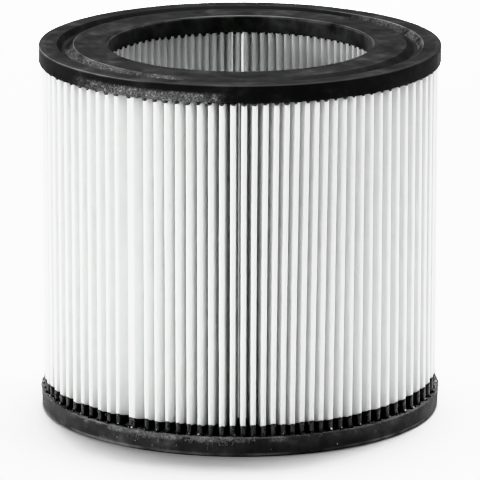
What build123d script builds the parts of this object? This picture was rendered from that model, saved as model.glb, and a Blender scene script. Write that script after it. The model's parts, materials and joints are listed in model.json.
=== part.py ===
from build123d import *
import math
import os

# Pleated cartridge filter for a vacuum cleaner, in millimetres.
# It stands on its closed end: the axis is Z, the base is at Z 0 and the outlet faces up.
# The photo was taken from the -Y side.

# Overall size
overall_height = 172.0
cap_diameter = 186.0
ring_width = 32.0

# Top end cap: a ring round the outlet bore, with a sealing groove in its upper face
top_cap_height = 8.0
lip_width = 8.5
groove_outer_slope_width = 2.2
groove_floor_width = 1.8
groove_inner_slope_width = 3.6
groove_depth = 2.6
groove_web = 2.0
top_edge_chamfer = 0.8
bore_edge_chamfer = 0.8

# Bottom end cap: a closed disc
bottom_cap_height = 9.5
bottom_web = 4.5
bottom_wall_draft = 0.6
base_edge_chamfer = 1.2
floor_recess_depth = 1.5
floor_recess_margin = 3.0

# Folded sheet: narrow folds on the outside and round the bore, with straight legs between them
sheet_thickness = 0.6
outer_fold_width = 1.9
inner_fold_width = 1.8
seam_width = 3.2
outer_fold_inset = 1.5
inner_fold_inset = 1.2
pleat_pitch = 6.1

# Spacing of the pleats, in degrees: they were bunched towards one side when they were potted
bunched_side = -87.6
seam_turn = -42.1
seam_room = 5.5
first_bunching = 2.8
second_bunching = 6.0
pleat_wander = 1.0
wander_start = 36.0

# Radii and heights that follow from these
cap_radius = cap_diameter / 2
bore_radius = cap_radius - ring_width
outer_fold_radius = cap_radius - outer_fold_inset
inner_fold_radius = bore_radius + inner_fold_inset
pleat_count = int(2 * math.pi * outer_fold_radius / pleat_pitch)
media_bottom = bottom_web
media_height = overall_height - groove_depth - groove_web - media_bottom


def pleat_angle(number):
    """Direction of an outward fold in degrees. Number 0 is the seam, which has more room beside it."""
    nth = number % pleat_count
    even_turn = seam_turn + 360 * (number // pleat_count)
    if nth > 0:
        even_turn += seam_room + (nth - 1) * (360 - 2 * seam_room) / (pleat_count - 2)
    once_round = math.radians(even_turn)
    bunching = first_bunching * math.sin(once_round) + second_bunching * math.sin(2 * once_round)
    wander = pleat_wander * math.sin(4 * once_round + math.radians(wander_start))
    return bunched_side + even_turn - bunching + wander


def fold(angle, radius, width):
    """The two corners of a flat-topped fold."""
    direction = math.radians(angle)
    corners = []
    for across in (-width / 2, width / 2):
        x = radius * math.cos(direction) - across * math.sin(direction)
        y = radius * math.sin(direction) + across * math.cos(direction)
        corners.append((x, y))
    return corners


def sheet_section():
    """Section of the folded sheet, once round the ring."""
    root_radius = inner_fold_radius + sheet_thickness
    root_width = inner_fold_width - 2 * sheet_thickness
    outer_side = []
    inner_side = []
    for number in range(pleat_count):
        outward = pleat_angle(number)
        inward = (outward + pleat_angle(number + 1)) / 2
        tip_width = seam_width if number == 0 else outer_fold_width
        outer_side += fold(outward, outer_fold_radius, tip_width)
        outer_side += fold(inward, root_radius, root_width)
        inner_side += fold(outward, outer_fold_radius - sheet_thickness, 0)[:1]
        inner_side += fold(inward, inner_fold_radius, inner_fold_width)
    hole = Wire.make_polygon(inner_side, close=True)
    return Face(Wire.make_polygon(outer_side, close=True), [hole])


def turned(*section):
    """Solid of revolution round Z from (radius, height) points."""
    face = make_face(Polyline(*[(r, 0, z) for r, z in section], close=True))
    return revolve(face, Axis.Z)


# Folded sheet, standing between the caps with its ends cast into them
standing_sheet = extrude(sheet_section(), amount=media_height, dir=(0, 0, 1))
pleated_media = Pos(0, 0, media_bottom) * standing_sheet

# Top end cap
top_underside = overall_height - top_cap_height
groove_outer_edge = cap_radius - lip_width
groove_floor_outer = groove_outer_edge - groove_outer_slope_width
groove_floor_inner = groove_floor_outer - groove_floor_width
groove_inner_edge = groove_floor_inner - groove_inner_slope_width
top_blank = turned(
    (bore_radius, top_underside),
    (cap_radius, top_underside),
    (cap_radius, overall_height - top_edge_chamfer),
    (cap_radius - top_edge_chamfer, overall_height),
    (groove_outer_edge, overall_height),
    (groove_floor_outer, overall_height - groove_depth),
    (groove_floor_inner, overall_height - groove_depth),
    (groove_inner_edge, overall_height),
    (bore_radius + bore_edge_chamfer, overall_height),
    (bore_radius, overall_height - bore_edge_chamfer),
)
top_end_cap = top_blank - pleated_media

# Bottom end cap
base_radius = cap_radius - bottom_wall_draft
floor_recess_radius = inner_fold_radius - floor_recess_margin
floor_height = bottom_cap_height - floor_recess_depth
bottom_blank = turned(
    (0, 0),
    (base_radius - base_edge_chamfer, 0),
    (base_radius, base_edge_chamfer),
    (cap_radius, bottom_cap_height),
    (floor_recess_radius, bottom_cap_height),
    (floor_recess_radius, floor_height),
    (0, floor_height),
)
bottom_end_cap = bottom_blank - pleated_media

os.makedirs("parts", exist_ok=True)
export_step(pleated_media, "parts/pleated_media.step")
export_step(top_end_cap, "parts/top_end_cap.step")
export_step(bottom_end_cap, "parts/bottom_end_cap.step")
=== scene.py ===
import json
import math

import bmesh
import bpy
import numpy as np
from mathutils import Matrix, Vector


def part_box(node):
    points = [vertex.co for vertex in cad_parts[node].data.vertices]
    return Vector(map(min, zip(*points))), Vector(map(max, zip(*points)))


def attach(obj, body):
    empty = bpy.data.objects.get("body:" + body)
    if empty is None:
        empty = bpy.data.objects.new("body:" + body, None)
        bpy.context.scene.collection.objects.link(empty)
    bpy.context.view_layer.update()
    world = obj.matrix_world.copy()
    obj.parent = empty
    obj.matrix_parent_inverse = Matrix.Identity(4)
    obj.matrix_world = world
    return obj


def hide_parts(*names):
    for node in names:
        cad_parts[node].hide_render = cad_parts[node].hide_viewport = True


# Pleated cartridge filter, dressed for its photo. Lengths are in metres, in the CAD model's own frame.

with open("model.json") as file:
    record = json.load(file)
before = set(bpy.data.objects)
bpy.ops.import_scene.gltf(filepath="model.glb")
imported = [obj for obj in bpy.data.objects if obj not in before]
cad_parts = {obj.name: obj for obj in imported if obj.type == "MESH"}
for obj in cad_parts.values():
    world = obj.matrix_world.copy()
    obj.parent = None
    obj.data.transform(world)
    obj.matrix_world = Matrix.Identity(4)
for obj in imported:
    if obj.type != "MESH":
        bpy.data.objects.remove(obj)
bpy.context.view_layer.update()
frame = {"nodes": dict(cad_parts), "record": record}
random = np.random.default_rng(11)
MM = 0.001
FULL_TURN = 2 * math.pi

# Places that the CAD solids give
media_low, media_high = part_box("pleated_media")
top_low, top_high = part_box("top_end_cap")
_, bottom_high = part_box("bottom_end_cap")
cap_radius = top_high[0]
ring_top = top_high[2]
ring_under = top_low[2]
rim_top = bottom_high[2]
mounts = {mount["name"]: mount for mount in frame["record"]["mounts"]}
bore_radius = mounts["outlet_bore"]["dims"]["r_mm"] * MM

# Sealing groove of the top ring, and the bottom disc, as in the solids
groove_outer_edge = 84.5 * MM
groove_floor_outer = 82.3 * MM
groove_floor_inner = 80.5 * MM
groove_inner_edge = 76.9 * MM
groove_depth = 2.6 * MM
base_radius = 92.4 * MM
recess_radius = 59.2 * MM
recess_depth = 1.5 * MM

# Folded sheet
sheet_thickness = 0.6 * MM
fold_half_width = 1.2 * MM
fold_depth = 0.75 * MM
seam_dip = 0.55 * MM
root_roundness = 0.8
fold_steps = 8
root_steps = 6
leg_steps = 2
sheet_rows = 26

# How the pleats stray from straight lines: they lean where the hand that potted them pushed them aside
pleat_lean = 2.4 * MM
lean_middle = math.radians(-69)
lean_width = math.radians(17)
pleat_bow = 0.06 * MM
pleat_ripple = 0.015 * MM

# Potting resin that has crept into the ends of the pleats
soak_swell = 0.09 * MM
soak_height = 4.8 * MM
soak_extra_right = 1.7 * MM
soak_tip_rise = 0.5 * MM
soak_slope = 0.25
soak_least = 0.6 * MM
top_soak = 0.35 * MM

# Stray resin and white specks: the flash is thick over one stretch of the rim, given by its ends in degrees
flash_stretch = (-124, -86)
flash_threads = 200
stray_threads = 190
foot_speck_share = 0.6
wall_specks = 28

# How pale a film of dust makes the black caps. The disc's larger value is partly painted fill light that
# lifts the shaded disc.
ring_dust = 0.014
disc_dust_and_fill = 0.06

# Mesh density of the caps
ring_steps = 720
longest_run = 1.5 * MM


def object_from(name, points, faces):
    """A smooth mesh object in the scene."""
    mesh = bpy.data.meshes.new(name)
    mesh.from_pydata([tuple(p) for p in points], [], faces)
    mesh.update()
    mesh.shade_smooth()
    piece = bpy.data.objects.new(name, mesh)
    bpy.context.collection.objects.link(piece)
    return piece


def dress(piece, material, slot, *replaced):
    """Fixes a piece to the filter, with its finish and the solids that it stands for."""
    piece.data.materials.append(material)
    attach(piece, "root")
    if replaced:
        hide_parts(*replaced)


# Pleats


def half_widths(directions, corners, radius):
    """Half the width of the fold in each direction, from the nearest corner."""
    apart = np.angle(np.exp(1j * (corners[None, :] - directions[:, None])))
    return radius * np.abs(apart).min(axis=1)


def read_pleats():
    """Outward and inward folds of the CAD sheet: their directions, half widths and radii."""
    vertices = frame["nodes"]["pleated_media"].data.vertices
    corners = np.array(sorted({(round(v.co.x, 6), round(v.co.y, 6)) for v in vertices}))
    radius = np.hypot(corners[:, 0], corners[:, 1])
    angle = np.arctan2(corners[:, 1], corners[:, 0])
    outer, inner = radius.max(), radius.min()
    half = sheet_thickness / 2
    inside_tip = (radius < outer - half) & (radius > outer - 3 * half)
    folds = np.sort(angle[inside_tip])
    roots = (folds + np.append(folds[1:], folds[0] + FULL_TURN)) / 2
    fold_halves = half_widths(folds, angle[radius > outer - half], outer)
    root_halves = half_widths(roots, angle[radius < inner + half], inner)
    return folds, roots, fold_halves, root_halves, outer, inner


fold_angle, root_angle, cad_fold_half, root_half_width, fold_radius, root_radius = read_pleats()
pleat_count = len(fold_angle)
seam_extra = cad_fold_half - np.median(cad_fold_half)
lean = pleat_lean * np.exp(-(((fold_angle - lean_middle) / lean_width) ** 2))
bow = random.normal(0, 1, pleat_count)
ripple = random.normal(0, 1, (3, pleat_count))
ripple_start = random.uniform(0, FULL_TURN, (3, pleat_count))


def sway(height):
    """How far along the ring the outward folds stand from their CAD places at a height."""
    share = np.clip((height - rim_top) / (ring_under - rim_top), 0, 1)
    waves = sum(ripple[k] * np.sin(FULL_TURN * (k + 2) * share + ripple_start[k]) for k in range(len(ripple)))
    freedom = math.sin(math.pi * share)
    return lean * (share - 0.5) + freedom * (pleat_bow * bow + pleat_ripple * waves)


def polar(angle, out, across):
    """Points at a distance out along a direction and across it."""
    c, s = np.cos(angle)[:, None], np.sin(angle)[:, None]
    return np.stack(np.broadcast_arrays(out * c - across * s, out * s + across * c), axis=2)


def legs(start, end):
    """Points between an outward and an inward fold."""
    shares = np.arange(1, leg_steps)[None, :, None] / leg_steps
    return start[:, None] * (1 - shares) + end[:, None] * shares


def section(height):
    """Middle line of the folded sheet at a height, and its outward normals."""
    moved = sway(height)
    turn = np.radians(np.linspace(-90, 90, fold_steps + 1))
    bend = fold_half_width - sheet_thickness / 2
    out = fold_radius - sheet_thickness / 2 - fold_depth * (1 - np.cos(turn) ** 0.8)
    dip = np.where(seam_extra > 0.1 * MM, seam_dip, 0)[:, None] * (turn == 0)
    tips = polar(
        fold_angle + moved / fold_radius,
        out - dip,
        bend * np.sin(turn) + np.sign(turn) * seam_extra[:, None],
    )
    turn = np.radians(np.linspace(-90, 90, root_steps + 1))
    bend = (root_half_width - sheet_thickness / 2)[:, None]
    following = np.roll(moved, -1)
    roots = polar(
        root_angle + (moved + following) / 2 / fold_radius,
        root_radius + sheet_thickness / 2 + root_roundness * bend * (1 - np.cos(turn)),
        bend * np.sin(turn),
    )
    down = legs(tips[:, -1], roots[:, 0])
    up = legs(roots[:, -1], np.roll(tips[:, 0], -1, axis=0))
    points = np.concatenate([tips, down, roots, up], axis=1).reshape(-1, 2)
    along = np.roll(points, -1, axis=0) - np.roll(points, 1, axis=0)
    along /= np.linalg.norm(along, axis=1)[:, None]
    normals = np.stack([along[:, 1], -along[:, 0]], axis=1)
    return points, normals


def tip_nearness():
    """For each point of the section, 1 at the crown of an outward fold and 0 along the legs."""
    tip = np.cos(np.radians(np.linspace(-90, 90, fold_steps + 1)))
    rest = np.zeros(root_steps + 1 + 2 * (leg_steps - 1))
    return np.tile(np.concatenate([tip, rest]), pleat_count)


def per_pleat(values):
    """One value for each pleat, given to all its points."""
    return np.repeat(values, fold_steps + root_steps + 2 * leg_steps)


def folded_sheet(name, rows, thickness):
    """Closed mesh of the folded sheet. A row is a height, or a height for each point of the section."""
    points = []
    for row in rows:
        middle, normal = section(float(np.mean(row)))
        heights = np.broadcast_to(row, len(middle))
        for side in (0.5, -0.5):
            place = middle + side * thickness * normal
            points.append(np.column_stack([place, heights]))
    points = np.concatenate(points)
    count = len(middle)
    here = np.arange(count)
    there = np.roll(here, -1)
    faces = []
    for k in range(len(rows) - 1):
        low, high = 2 * k * count, 2 * (k + 1) * count
        faces.append(np.column_stack([low + here, low + there, high + there, high + here]))
        low, high = low + count, high + count
        faces.append(np.column_stack([low + there, low + here, high + here, high + there]))
    last = 2 * (len(rows) - 1) * count
    faces.append(np.column_stack([count + here, count + there, there, here]))
    faces.append(np.column_stack([last + here, last + there, last + count + there, last + count + here]))
    return object_from(name, points, np.concatenate(faces).tolist())


def make_media(material):
    rows = np.linspace(media_low[2], media_high[2], sheet_rows)
    media = folded_sheet("fleece_pleats", rows, sheet_thickness)
    dress(media, material, "filter_fleece", "pleated_media")
    middle, _ = section(0.5 * (media_low[2] + media_high[2]))


def make_soaked_ends(material):
    """The black feet of the pleats, and a thin dark hem under the top ring."""
    middle, _ = section(rim_top)
    angle = np.arctan2(middle[:, 1], middle[:, 0])
    rightward = np.clip(np.cos(angle), 0, 1) ** 2
    uneven = per_pleat(random.normal(0, 0.25 * MM, pleat_count))
    ragged = random.normal(0, 0.08 * MM, len(angle))
    depth = fold_radius - np.hypot(middle[:, 0], middle[:, 1])
    creep = soak_height + soak_extra_right * rightward + soak_tip_rise * tip_nearness() - soak_slope * depth
    crest = rim_top + np.maximum(creep + uneven + ragged, soak_least)
    start = rim_top - 0.5 * MM
    rows = [start + share * (crest - start) for share in np.linspace(0, 1, 6)]
    feet = folded_sheet("soaked_feet", rows, sheet_thickness + 2 * soak_swell)
    dress(feet, material, "cap_polyurethane")
    edge = ring_under - top_soak * random.uniform(0.4, 1.6, len(angle))
    start = ring_under + 0.5 * MM
    rows = [edge + share * (start - edge) for share in np.linspace(0, 1, 3)]
    hem = folded_sheet("soaked_hem", rows, sheet_thickness + 2 * soak_swell)
    dress(hem, material, "cap_polyurethane")


# Caps


def rounded(outline, radii, steps=6):
    """An open outline with each inner corner turned into an arc of its radius."""
    points = [np.array(outline[0])]
    for k in range(1, len(outline) - 1):
        corner = np.array(outline[k])
        before = np.array(outline[k - 1]) - corner
        after = np.array(outline[k + 1]) - corner
        before /= np.linalg.norm(before)
        after /= np.linalg.norm(after)
        opening = math.acos(np.clip(np.dot(before, after), -1, 1))
        reach = radii[k] / math.tan(opening / 2)
        middle = before + after
        centre = corner + middle / np.linalg.norm(middle) * radii[k] / math.sin(opening / 2)
        first = corner + before * reach - centre
        last = corner + after * reach - centre
        sweep = math.atan2(first[0] * last[1] - first[1] * last[0], np.dot(first, last))
        for j in range(steps + 1):
            c, s = math.cos(sweep * j / steps), math.sin(sweep * j / steps)
            points.append(centre + np.array([first[0] * c - first[1] * s, first[0] * s + first[1] * c]))
    points.append(np.array(outline[-1]))
    return np.array(points)


def divided(outline):
    """The outline with long runs cut into shorter ones."""
    points = [outline[0]]
    for start, end in zip(outline[:-1], outline[1:]):
        count = max(1, math.ceil(np.linalg.norm(end - start) / longest_run))
        points += [start + (end - start) * j / count for j in range(1, count + 1)]
    return np.array(points)


def round_noise(waves, strength):
    """Smooth random numbers once round a cap, with about that many waves."""
    knots = random.normal(0, 1, waves)
    place = np.arange(ring_steps) * waves / ring_steps
    low = place.astype(int)
    share = place - low
    share = share * share * (3 - 2 * share)
    return strength * (knots[low % waves] * (1 - share) + knots[(low + 1) % waves] * share)


def turned(name, outline, closed, roughen):
    """Surface of revolution round Z. roughen moves its radii and heights, a row for each outline point."""
    angle = np.linspace(0, FULL_TURN, ring_steps, endpoint=False)
    radius = np.repeat(outline[:, :1], ring_steps, axis=1)
    height = np.repeat(outline[:, 1:], ring_steps, axis=1)
    radius, height = roughen(radius, height)
    points = np.stack([radius * np.cos(angle), radius * np.sin(angle), height], axis=2).reshape(-1, 3)
    count = len(outline)
    around = np.arange(ring_steps)
    onward = np.roll(around, -1)
    faces = []
    for k in range(count if closed else count - 1):
        low, high = k * ring_steps, (k + 1) % count * ring_steps
        faces += np.column_stack([low + around, low + onward, high + onward, high + around]).tolist()
    if not closed:
        faces += [around[::-1].tolist(), ((count - 1) * ring_steps + around).tolist()]
    return object_from(name, points, faces)


def roughened_ring(radius, height):
    """The top ring's lower edge swells and wavers, and its faces are not quite flat."""
    low_edge = np.exp(-(((height - ring_under) / (1.4 * MM)) ** 2)) * (radius > cap_radius - 2 * MM)
    swell = 0.12 * MM + round_noise(240, 0.10 * MM) + round_noise(40, 0.10 * MM)
    radius = radius + low_edge * np.clip(swell, -0.3 * MM, 0.45 * MM)
    upper = height > ring_under + 1 * MM
    height = height + low_edge * round_noise(300, 0.14 * MM) + upper * round_noise(26, 0.05 * MM)
    return radius, height


def make_top_cap(material):
    outline = [
        (bore_radius + 8 * MM, ring_under),
        (bore_radius, ring_under),
        (bore_radius, ring_top),
        (groove_inner_edge, ring_top),
        (groove_floor_inner, ring_top - groove_depth),
        (groove_floor_outer, ring_top - groove_depth),
        (groove_outer_edge, ring_top),
        (cap_radius, ring_top),
        (cap_radius - 0.2 * MM, ring_under),
        (cap_radius - 8 * MM, ring_under),
    ]
    radii = np.array([0, 0.4, 1.3, 0.4, 0.7, 0.7, 0.35, 0.6, 0.5, 0]) * MM
    outline = divided(rounded(outline, radii))
    cap = turned("top_ring", outline, True, roughened_ring)
    dress(cap, material, "cap_polyurethane", "top_end_cap")


def roughened_disc(radius, height):
    """The bottom disc's rim is ragged, and the resin between the pleats is uneven."""
    rim_edge = np.exp(-(((height - rim_top) / (0.7 * MM)) ** 2)) * (radius > cap_radius - 2.5 * MM)
    ragged = round_noise(300, 0.12 * MM) + round_noise(50, 0.08 * MM)
    radius = radius + rim_edge * np.clip(ragged, -0.3 * MM, 0.3 * MM)
    potted = (height > rim_top - 0.2 * MM) * (radius > recess_radius + 1 * MM)
    height = height + potted * np.stack([round_noise(260, 0.15 * MM) for _ in radius])
    return radius, height


def make_bottom_cap(material):
    outline = [
        (5 * MM, 0),
        (base_radius, 0),
        (cap_radius, rim_top),
        (recess_radius, rim_top),
        (recess_radius, rim_top - recess_depth),
        (5 * MM, rim_top - recess_depth),
    ]
    radii = np.array([0, 1.4, 0.3, 0.6, 0.8, 0]) * MM
    outline = divided(rounded(outline, radii))
    cap = turned("bottom_disc", outline, False, roughened_disc)
    dress(cap, material, "cap_polyurethane", "bottom_end_cap")


# Stray resin


def add_drop(shape, angle, out, height, half_sizes, smoothness):
    """A rounded drop. Its half sizes are outward, along the ring and upward."""
    place = Matrix.Translation((out * math.cos(angle), out * math.sin(angle), height))
    pose = place @ Matrix.Rotation(angle, 4, "Z") @ Matrix.Diagonal((*half_sizes, 1))
    bmesh.ops.create_icosphere(shape, subdivisions=smoothness, radius=1.0, matrix=pose)


def finish_drops(name, shape, material, slot="cap_polyurethane"):
    mesh = bpy.data.meshes.new(name)
    shape.to_mesh(mesh)
    shape.free()
    mesh.shade_smooth()
    piece = bpy.data.objects.new(name, mesh)
    bpy.context.collection.objects.link(piece)
    dress(piece, material, slot)


def make_foot_beads(material):
    """Glossy beads where the pleats stand on the rim, and smaller ones up their feet and between them."""
    shape = bmesh.new()
    for angle in fold_angle - lean / 2 / fold_radius:
        size = random.uniform(0.6, 1.2) * MM
        turn = angle + random.normal(0, 0.6) * MM / fold_radius
        out = fold_radius + random.uniform(-0.1, 0.4) * MM
        half_sizes = size * random.uniform((0.7, 0.7, 0.7), (1.0, 1.2, 1.3))
        add_drop(shape, turn, out, rim_top + 0.1 * MM, half_sizes, 3)
        for climb in random.uniform(0, soak_height, 3):
            turn = angle + random.normal(0, 0.7) * MM / fold_radius
            half_sizes = random.uniform((0.2, 0.3, 0.3), (0.4, 0.7, 0.9)) * MM
            add_drop(shape, turn, fold_radius - 0.1 * MM, rim_top + climb, half_sizes, 2)
        for _ in range(2):
            turn = angle + random.uniform(1.5, 5.0) * MM / fold_radius
            out = fold_radius - random.uniform(0, 1.5) * MM
            half_sizes = random.uniform((0.2, 0.2, 0.15), (0.6, 0.8, 0.5)) * MM
            add_drop(shape, turn, out, rim_top, half_sizes, 2)
    finish_drops("foot_beads", shape, material)


def make_top_drops(material):
    """Drops of resin under the top ring: on the tips outside, and in the slots between the folds inside."""
    shape = bmesh.new()
    for angle in fold_angle + lean / 2 / fold_radius:
        front = math.exp(-(((angle - math.radians(-100)) / 0.5) ** 2))
        size = (0.5 + 0.5 * front + random.uniform(-0.15, 0.2)) * MM
        half_sizes = size * random.uniform((0.8, 1.2, 0.9), (1.0, 1.8, 1.3))
        turn = angle + random.normal(-0.4, 0.3) * MM / fold_radius
        add_drop(shape, turn, fold_radius - 0.1 * MM, ring_under - 0.45 * MM, half_sizes, 2)
    for angle in fold_angle:
        back_left = math.exp(-((np.angle(np.exp(1j * (angle - math.radians(128)))) / 0.55) ** 2))
        size = (0.45 + 0.55 * back_left + random.uniform(-0.1, 0.2)) * MM
        half_sizes = size * random.uniform((0.8, 0.9, 1.0), (1.0, 1.3, 1.5))
        turn = angle + random.normal(0, 0.2) * MM / root_radius
        add_drop(shape, turn, root_radius + 0.1 * MM, ring_under - 0.4 * MM, half_sizes, 2)
    finish_drops("hanging_drops", shape, material)


def wall_radius(height):
    """Radius of the outer wall of the bottom disc at a height."""
    return base_radius + (cap_radius - base_radius) * height / rim_top


def make_white_specks(material):
    """White specks of the fleece's material at the feet of the pleats, and specks of fleece on the wall of
    the disc.
    """
    shape = bmesh.new()
    for angle in fold_angle - lean / 2 / fold_radius:
        if random.uniform() < foot_speck_share:
            size = random.uniform(0.25, 0.6) * MM
            turn = angle + random.normal(0, 0.5) * MM / fold_radius
            height = rim_top + random.uniform(0.2, 1.0) * MM
            half_sizes = size * random.uniform((0.5, 0.5, 0.5), (1.0, 1.0, 1.0))
            add_drop(shape, turn, fold_radius + 0.3 * MM, height, half_sizes, 2)
    for _ in range(wall_specks):
        height = random.uniform(2, 9) * MM
        half_sizes = random.uniform((0.05, 0.05, 0.05), (0.3, 0.3, 0.3)) * MM
        add_drop(shape, random.uniform(0, FULL_TURN), wall_radius(height), height, half_sizes, 1)
    finish_drops("white_specks", shape, material, "filter_fleece")


def add_strand(points, faces, path, radius, sides=5):
    """A thin closed tube along a path, added to lists of points and faces."""
    first = len(points)
    for k, place in enumerate(path):
        along = (path[min(k + 1, len(path) - 1)] - path[max(k - 1, 0)]).normalized()
        out = Vector((place.x, place.y, 0)).normalized()
        aside = along.cross(out).normalized()
        out = aside.cross(along)
        thin = radius * (0.35 if k in (0, len(path) - 1) else 1.0)
        for j in range(sides):
            turn = FULL_TURN * j / sides
            points.append(place + thin * (math.cos(turn) * out + math.sin(turn) * aside))
    for k in range(len(path) - 1):
        low = first + k * sides
        for j in range(sides):
            onward = (j + 1) % sides
            faces.append((low + j, low + onward, low + sides + onward, low + sides + j))
    faces.append([first + j for j in reversed(range(sides))])
    faces.append([len(points) - sides + j for j in range(sides)])


def strand_path(angle, height, heading, curl, step, count):
    """A wandering line on the outer wall of the bottom disc, below its rim."""
    path = []
    for _ in range(count):
        radius = wall_radius(height)
        path.append(Vector((radius * math.cos(angle), radius * math.sin(angle), height)))
        angle += step * math.cos(heading) / cap_radius
        height = min(max(height + step * math.sin(heading), 1.5 * MM), rim_top + 0.05 * MM)
        heading += curl + random.normal(0, 0.35)
    return path


def make_rim_flash(material):
    """Torn threads of moulding flash on the bottom rim: thick on the camera's left, sparse elsewhere."""
    points, faces = [], []
    for _ in range(flash_threads):
        angle = math.radians(random.uniform(*flash_stretch))
        height = rim_top - random.exponential(0.9) * MM
        path = strand_path(angle, height, random.uniform(0, FULL_TURN), random.normal(0, 0.5), 0.4 * MM, 7)
        add_strand(points, faces, path, random.uniform(0.08, 0.17) * MM)
    for _ in range(stray_threads):
        angle = random.uniform(0, FULL_TURN)
        path = strand_path(angle, rim_top, random.normal(0, 0.25), 0.0, 0.5 * MM, 6)
        add_strand(points, faces, path, random.uniform(0.06, 0.15) * MM)
    flash = object_from("rim_flash", points, faces)
    dress(flash, material, "cap_polyurethane")


# Materials


def new_material(name):
    material = bpy.data.materials.new(name)
    material.use_nodes = True
    nodes = material.node_tree.nodes
    shader = nodes["Principled BSDF"]
    place = nodes.new("ShaderNodeTexCoord")
    return material, shader, place.outputs["Object"]


def noise(material, place, scale, detail=3.0, roughness=0.5):
    node = material.node_tree.nodes.new("ShaderNodeTexNoise")
    node.inputs["Scale"].default_value = scale
    node.inputs["Detail"].default_value = detail
    node.inputs["Roughness"].default_value = roughness
    material.node_tree.links.new(place, node.inputs["Vector"])
    return node.outputs["Fac"]


def ramp(material, factor, stops):
    node = material.node_tree.nodes.new("ShaderNodeValToRGB")
    elements = node.color_ramp.elements
    while len(elements) < len(stops):
        elements.new(0.5)
    for element, (place, shade) in zip(elements, stops):
        element.position = place
        element.color = (*shade, 1) if isinstance(shade, tuple) else (shade, shade, shade, 1)
    material.node_tree.links.new(factor, node.inputs["Fac"])
    return node.outputs["Color"]


def math_node(material, operation, first, second):
    """A Math node. Each input is a socket or a number."""
    node = material.node_tree.nodes.new("ShaderNodeMath")
    node.operation = operation
    for socket, value in zip(node.inputs, (first, second)):
        if isinstance(value, (int, float)):
            socket.default_value = value
        else:
            material.node_tree.links.new(value, socket)
    return node.outputs["Value"]


def between(material, value, low, high, edge):
    """1 where the value lies between two bounds, falling to 0 over the edge width outside them."""
    node = material.node_tree.nodes.new("ShaderNodeMapRange")
    node.interpolation_type = "SMOOTHSTEP"
    node.inputs["From Min"].default_value = low - edge
    node.inputs["From Max"].default_value = low
    material.node_tree.links.new(value, node.inputs["Value"])
    rise = node.outputs["Result"]
    node = material.node_tree.nodes.new("ShaderNodeMapRange")
    node.interpolation_type = "SMOOTHSTEP"
    node.inputs["From Min"].default_value = high + edge
    node.inputs["From Max"].default_value = high
    material.node_tree.links.new(value, node.inputs["Value"])
    return math_node(material, "MULTIPLY", rise, node.outputs["Result"])


def cylinder_place(material, place):
    """Height and radius of a point, as sockets."""
    parts = material.node_tree.nodes.new("ShaderNodeSeparateXYZ")
    material.node_tree.links.new(place, parts.inputs["Vector"])
    x, y, z = parts.outputs
    x_squared = math_node(material, "MULTIPLY", x, x)
    y_squared = math_node(material, "MULTIPLY", y, y)
    radius = math_node(material, "SQRT", math_node(material, "ADD", x_squared, y_squared), 0.0)
    return z, radius


def facing(material, place, azimuth, reach):
    """1 on the side of the filter at an azimuth, falling to 0 at that many degrees from it."""
    node = material.node_tree.nodes.new("ShaderNodeVectorMath")
    node.operation = "NORMALIZE"
    flat = material.node_tree.nodes.new("ShaderNodeVectorMath")
    flat.operation = "MULTIPLY"
    flat.inputs[1].default_value = (1, 1, 0)
    material.node_tree.links.new(place, flat.inputs[0])
    material.node_tree.links.new(flat.outputs["Vector"], node.inputs[0])
    dot = material.node_tree.nodes.new("ShaderNodeVectorMath")
    dot.operation = "DOT_PRODUCT"
    turn = math.radians(azimuth)
    dot.inputs[1].default_value = (math.sin(turn), -math.cos(turn), 0)
    material.node_tree.links.new(node.outputs["Vector"], dot.inputs[0])
    edge = math.cos(math.radians(reach))
    full = math.cos(math.radians(0.55 * reach))
    return between(material, dot.outputs["Value"], full, 2.0, full - edge)


def bump(material, height, strength, distance, under=None):
    node = material.node_tree.nodes.new("ShaderNodeBump")
    node.inputs["Strength"].default_value = strength
    node.inputs["Distance"].default_value = distance
    material.node_tree.links.new(height, node.inputs["Height"])
    if under:
        material.node_tree.links.new(under, node.inputs["Normal"])
    return node.outputs["Normal"]


def fleece_material():
    material, shader, place = new_material("polyester_fleece")
    link = material.node_tree.links.new
    cloudy = noise(material, place, 140.0, 4.0)
    fibres = noise(material, place, 1900.0, 4.0, 0.65)
    white = ramp(material, cloudy, [(0.3, (0.86, 0.87, 0.865)), (0.7, (0.89, 0.895, 0.89))])
    link(white, shader.inputs["Base Color"])
    link(bump(material, fibres, 0.14, 0.12 * MM), shader.inputs["Normal"])
    shader.inputs["Roughness"].default_value = 0.95
    shader.inputs["Specular IOR Level"].default_value = 0.15
    shader.inputs["Subsurface Weight"].default_value = 1.0
    shader.inputs["Subsurface Radius"].default_value = (1.0, 1.0, 1.0)
    shader.inputs["Subsurface Scale"].default_value = 1.8 * MM
    return material


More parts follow.
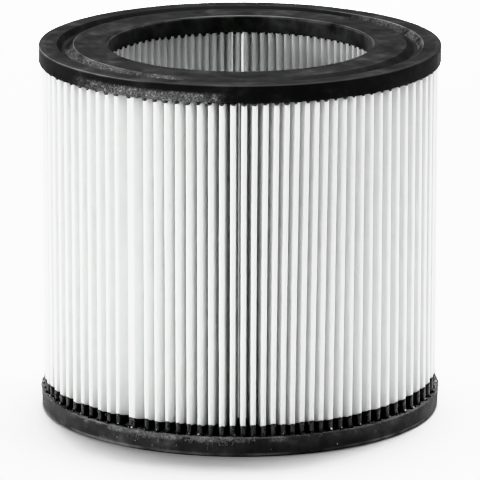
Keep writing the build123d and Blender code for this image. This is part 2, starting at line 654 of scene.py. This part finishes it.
def cap_material(name, marks, film_paleness):
    """Black moulded polyurethane. marks gives masks of ripped skin with painted glints, wear and painted
    light, matt parts and painted shade.
    """
    material, shader, place = new_material(name)
    link = material.node_tree.links.new
    mottle = noise(material, place, 90.0, 5.0, 0.65)
    skin = noise(material, place, 500.0, 4.0, 0.6)
    grain = noise(material, place, 1200.0, 3.0, 0.6)
    specks = noise(material, place, 2400.0, 2.0, 0.5)
    torn_and_glints, painted_light_and_wear, matt, painted_groove_shade = marks(material, place)
    torn_grain = math_node(material, "MULTIPLY", torn_and_glints, grain)
    film = ramp(material, mottle, [(0.35, 0.6 * film_paleness), (0.55, film_paleness), (0.75, 2.2 * film_paleness)])
    dust = ramp(material, specks, [(0.74, 0.0), (0.80, 0.12)])
    pores = ramp(material, grain, [(0.40, 0.05), (0.58, 0.17), (0.72, 0.55)])
    # Painted shade: the pale film is dimmed in the groove so that it reads darker.
    film = math_node(material, "MULTIPLY", film, math_node(material, "SUBTRACT", 1.0, painted_groove_shade))
    shade = math_node(material, "ADD", film, dust)
    # Pale pores where the skin is ripped: partly real, partly painted glints on the sides the lamps light.
    shade = math_node(material, "ADD", shade, math_node(material, "MULTIPLY", torn_and_glints, pores))
    # Paler edges: wear on the disc, and painted highlight lines and painted fill on the ring.
    shade = math_node(material, "ADD", shade, math_node(material, "MULTIPLY", painted_light_and_wear, 0.1))
    link(shade, shader.inputs["Base Color"])
    satin = ramp(material, mottle, [(0.3, 0.34), (0.7, 0.52)])
    roughness = math_node(material, "ADD", satin, math_node(material, "MULTIPLY", matt, 0.3))
    link(roughness, shader.inputs["Roughness"])
    fine = bump(material, skin, 0.22, 0.12 * MM)
    uneven = bump(material, mottle, 0.25, 0.8 * MM, fine)
    link(bump(material, torn_grain, 0.9, 0.35 * MM, uneven), shader.inputs["Normal"])
    shader.inputs["Specular IOR Level"].default_value = 0.12
    return material


def ring_marks(material, place):
    """Masks of the ring: ripped skin and painted glints on the lit groove slopes and wall, painted highlight
    lines on edges and painted fill on the bore wall, matt parts, and painted shade in the groove.
    """
    height, radius = cylinder_place(material, place)
    patches = ramp(material, noise(material, place, 120.0, 4.0, 0.6), [(0.3, 0.1), (0.65, 1.0)])
    # Ripped skin with pale pores, only on the groove slopes and wall that the left lamp lights: real ripped
    # skin and painted glints.
    inner_slope = between(material, radius, groove_inner_edge + 0.4 * MM, groove_floor_inner, 0.5 * MM)
    inner_slope = math_node(material, "MULTIPLY", inner_slope, 0.42)
    at_left = math_node(material, "MULTIPLY", inner_slope, facing(material, place, -52, 40))
    outer_slope = between(material, radius, groove_floor_outer, groove_outer_edge - 0.2 * MM, 0.4 * MM)
    outer_slope = math_node(material, "MULTIPLY", outer_slope, 0.4)
    at_back = math_node(material, "MULTIPLY", outer_slope, facing(material, place, 112, 34))
    low_wall = between(material, height, 0.0, ring_under + 3.4 * MM, 2.0 * MM)
    outside = between(material, radius, cap_radius - 2 * MM, 1.0, 1 * MM)
    on_wall = math_node(material, "MULTIPLY", low_wall, outside)
    on_wall = math_node(material, "MULTIPLY", on_wall, facing(material, place, -28, 27))
    torn_and_glints = math_node(material, "MAXIMUM", math_node(material, "MAXIMUM", at_left, at_back), on_wall)
    # Painted highlight: pale lines along the rounded edges, only on the sides that the lamps light.
    edges = 0.0
    for edge, azimuth, reach in (
        (cap_radius - 0.2 * MM, -72, 50),
        (groove_inner_edge, -82, 48),
        (groove_outer_edge, 112, 48),
        (bore_radius + 0.8 * MM, 125, 55),
    ):
        line = between(material, radius, edge - 0.05 * MM, edge + 0.05 * MM, 0.2 * MM)
        line = math_node(material, "MULTIPLY", line, facing(material, place, azimuth, reach))
        edges = math_node(material, "MAXIMUM", edges, line)
    top = between(material, height, ring_top - 0.7 * MM, 1.0, 0.3 * MM)
    fade = ramp(material, noise(material, place, 45.0, 4.0, 0.6), [(0.35, 0.15), (0.62, 1.0)])
    painted_light_and_wear = math_node(material, "MULTIPLY", math_node(material, "MULTIPLY", edges, top), fade)
    # Painted fill light: the shaded bore wall is made paler in patches.
    bore_wall = between(material, radius, 0.0, bore_radius + 0.2 * MM, 0.2 * MM)
    painted_bore_fill = math_node(material, "MULTIPLY", math_node(material, "MULTIPLY", bore_wall, patches), 0.5)
    groove = between(material, radius, groove_inner_edge, groove_outer_edge, 0.3 * MM)
    matt = math_node(material, "MAXIMUM", groove, outside)
    # Painted shade: the groove keeps only half its pale film.
    painted_groove_shade = math_node(material, "MULTIPLY", groove, 0.5)
    torn_and_glints = math_node(material, "MULTIPLY", torn_and_glints, patches)
    return torn_and_glints, math_node(material, "MAXIMUM", painted_light_and_wear, painted_bore_fill), matt, painted_groove_shade


def disc_marks(material, place):
    """Masks of the disc: ripped skin and painted glints in a band under the rim on its lit side, a rim and
    base edge pale from wear, and a matt wall.
    """
    height, radius = cylinder_place(material, place)
    patches = ramp(material, noise(material, place, 90.0, 4.0, 0.6), [(0.42, 0.0), (0.6, 1.0)])
    under_rim = between(material, height, rim_top - 1.8 * MM, 1.0, 1.2 * MM)
    # Ripped skin with pale pores, only on the lit front-left of the band: real ripped skin and painted
    # glints.
    torn_and_glints = math_node(material, "MULTIPLY", under_rim, facing(material, place, -22, 40))
    outside = between(material, radius, base_radius - 1.2 * MM, 1.0, 0.5 * MM)
    rim = between(material, height, rim_top - 0.4 * MM, 1.0, 0.3 * MM)
    foot = between(material, height, 0.8 * MM, 1.6 * MM, 0.5 * MM)
    fade = ramp(material, noise(material, place, 40.0, 3.0, 0.6), [(0.4, 0.0), (0.6, 1.0)])
    edges = math_node(material, "MULTIPLY", math_node(material, "MAXIMUM", rim, foot), outside)
    torn_and_glints = math_node(material, "MULTIPLY", torn_and_glints, patches)
    return torn_and_glints, math_node(material, "MULTIPLY", edges, fade), outside, 0.0


def soaked_material():
    """Fleece full of black resin, a little greyer on the crowns of the folds."""
    material, shader, place = new_material("soaked_fleece")
    link = material.node_tree.links.new
    _, radius = cylinder_place(material, place)
    patches = noise(material, place, 700.0, 4.0, 0.6)
    fibres = noise(material, place, 1800.0, 4.0, 0.6)
    crown = between(material, radius, fold_radius - 0.3 * MM, 1.0, 0.8 * MM)
    grey = ramp(material, patches, [(0.42, 0.004), (0.68, 0.055)])
    shade = math_node(material, "ADD", math_node(material, "MULTIPLY", crown, grey), 0.008)
    link(shade, shader.inputs["Base Color"])
    link(ramp(material, patches, [(0.3, 0.28), (0.7, 0.5)]), shader.inputs["Roughness"])
    link(bump(material, fibres, 0.7, 0.25 * MM), shader.inputs["Normal"])
    return material


def resin_material():
    material, shader, place = new_material("cured_resin")
    link = material.node_tree.links.new
    patches = noise(material, place, 900.0, 3.0)
    link(ramp(material, patches, [(0.3, 0.008), (0.7, 0.02)]), shader.inputs["Base Color"])
    link(ramp(material, patches, [(0.3, 0.06), (0.7, 0.16)]), shader.inputs["Roughness"])
    link(bump(material, patches, 0.3, 0.15 * MM), shader.inputs["Normal"])
    return material


def flash_material():
    """Thin ripped resin, paler than the rest: the paleness is a painted glint on the threads."""
    material, shader, place = new_material("torn_flash")
    link = material.node_tree.links.new
    patches = noise(material, place, 900.0, 3.0)
    # Painted glint: the threads are made pale.
    link(ramp(material, patches, [(0.3, 0.05), (0.7, 0.26)]), shader.inputs["Base Color"])
    link(ramp(material, patches, [(0.3, 0.25), (0.7, 0.45)]), shader.inputs["Roughness"])
    return material


def floor_material():
    material, shader, place = new_material("studio_floor")
    link = material.node_tree.links.new
    cloudy = noise(material, place, 3.0, 2.0)
    link(ramp(material, cloudy, [(0.3, 0.69), (0.7, 0.71)]), shader.inputs["Base Color"])
    shader.inputs["Roughness"].default_value = 0.9
    shader.inputs["Specular IOR Level"].default_value = 0.1
    return material


# Studio


def make_floor(material):
    half = 6.0
    corners = [(-half, -half, 0), (half, -half, 0), (half, half, 0), (-half, half, 0)]
    floor = object_from("floor", corners, [(0, 1, 2, 3)])
    floor.data.materials.append(material)


def add_softbox(name, azimuth, elevation, distance, size, power):
    """An area lamp aimed at the filter's middle. Azimuth 0 is the camera's side, positive to the right."""
    lamp = bpy.data.lights.new(name, "AREA")
    lamp.shape = "RECTANGLE"
    lamp.size, lamp.size_y = size
    lamp.energy = power
    obj = bpy.data.objects.new(name, lamp)
    bpy.context.collection.objects.link(obj)
    a, e = math.radians(azimuth), math.radians(elevation)
    aim = Vector((0, 0, ring_top / 2))
    away = Vector((math.sin(a) * math.cos(e), -math.cos(a) * math.cos(e), math.sin(e)))
    obj.location = aim + distance * away
    obj.rotation_euler = away.to_track_quat("Z", "Y").to_euler()


def make_lights():
    """Low softboxes at the sides and the back, and a strong one overhead that washes out the floor."""
    add_softbox("left_softbox", -64, 10, 1.3, (0.8, 0.2), 13)
    add_softbox("right_softbox", 82, 7, 1.3, (0.8, 0.2), 5)
    add_softbox("back_softbox", 180, 0, 1.0, (0.9, 0.15), 7)
    add_softbox("overhead_softbox", 168, 79, 1.7, (0.8, 0.6), 104)
    world = bpy.data.worlds.new("studio")
    world.use_nodes = True
    world.node_tree.nodes["Background"].inputs["Color"].default_value = (1, 1, 1, 1)
    world.node_tree.nodes["Background"].inputs["Strength"].default_value = 0.16
    bpy.context.scene.world = world


def make_camera():
    """Long lens, a little above the filter, as fitted to the rims in the photo."""
    camera = bpy.data.cameras.new("camera")
    camera.sensor_width = 36.0
    camera.lens = 391.25
    camera.clip_end = 50.0
    obj = bpy.data.objects.new("camera", camera)
    obj.location = (0, -2.3555, 0.6761)
    obj.rotation_euler = (math.radians(90 - 14.247), 0, 0)
    bpy.context.collection.objects.link(obj)
    bpy.context.scene.camera = obj


resin = resin_material()
fleece = fleece_material()
make_media(fleece)
make_soaked_ends(soaked_material())
make_top_cap(cap_material("ring_polyurethane", ring_marks, ring_dust))
# The disc's paler film is partly painted fill light on the shaded disc.
make_bottom_cap(cap_material("disc_polyurethane", disc_marks, disc_dust_and_fill))
make_foot_beads(resin)
make_top_drops(resin)
make_white_specks(fleece)
make_rim_flash(flash_material())
make_floor(floor_material())
make_lights()
make_camera()
bpy.context.scene.view_settings.view_transform = "Khronos PBR Neutral"

# White fleece passes light from fold to fold many times
bpy.context.scene.cycles.diffuse_bounces = 12
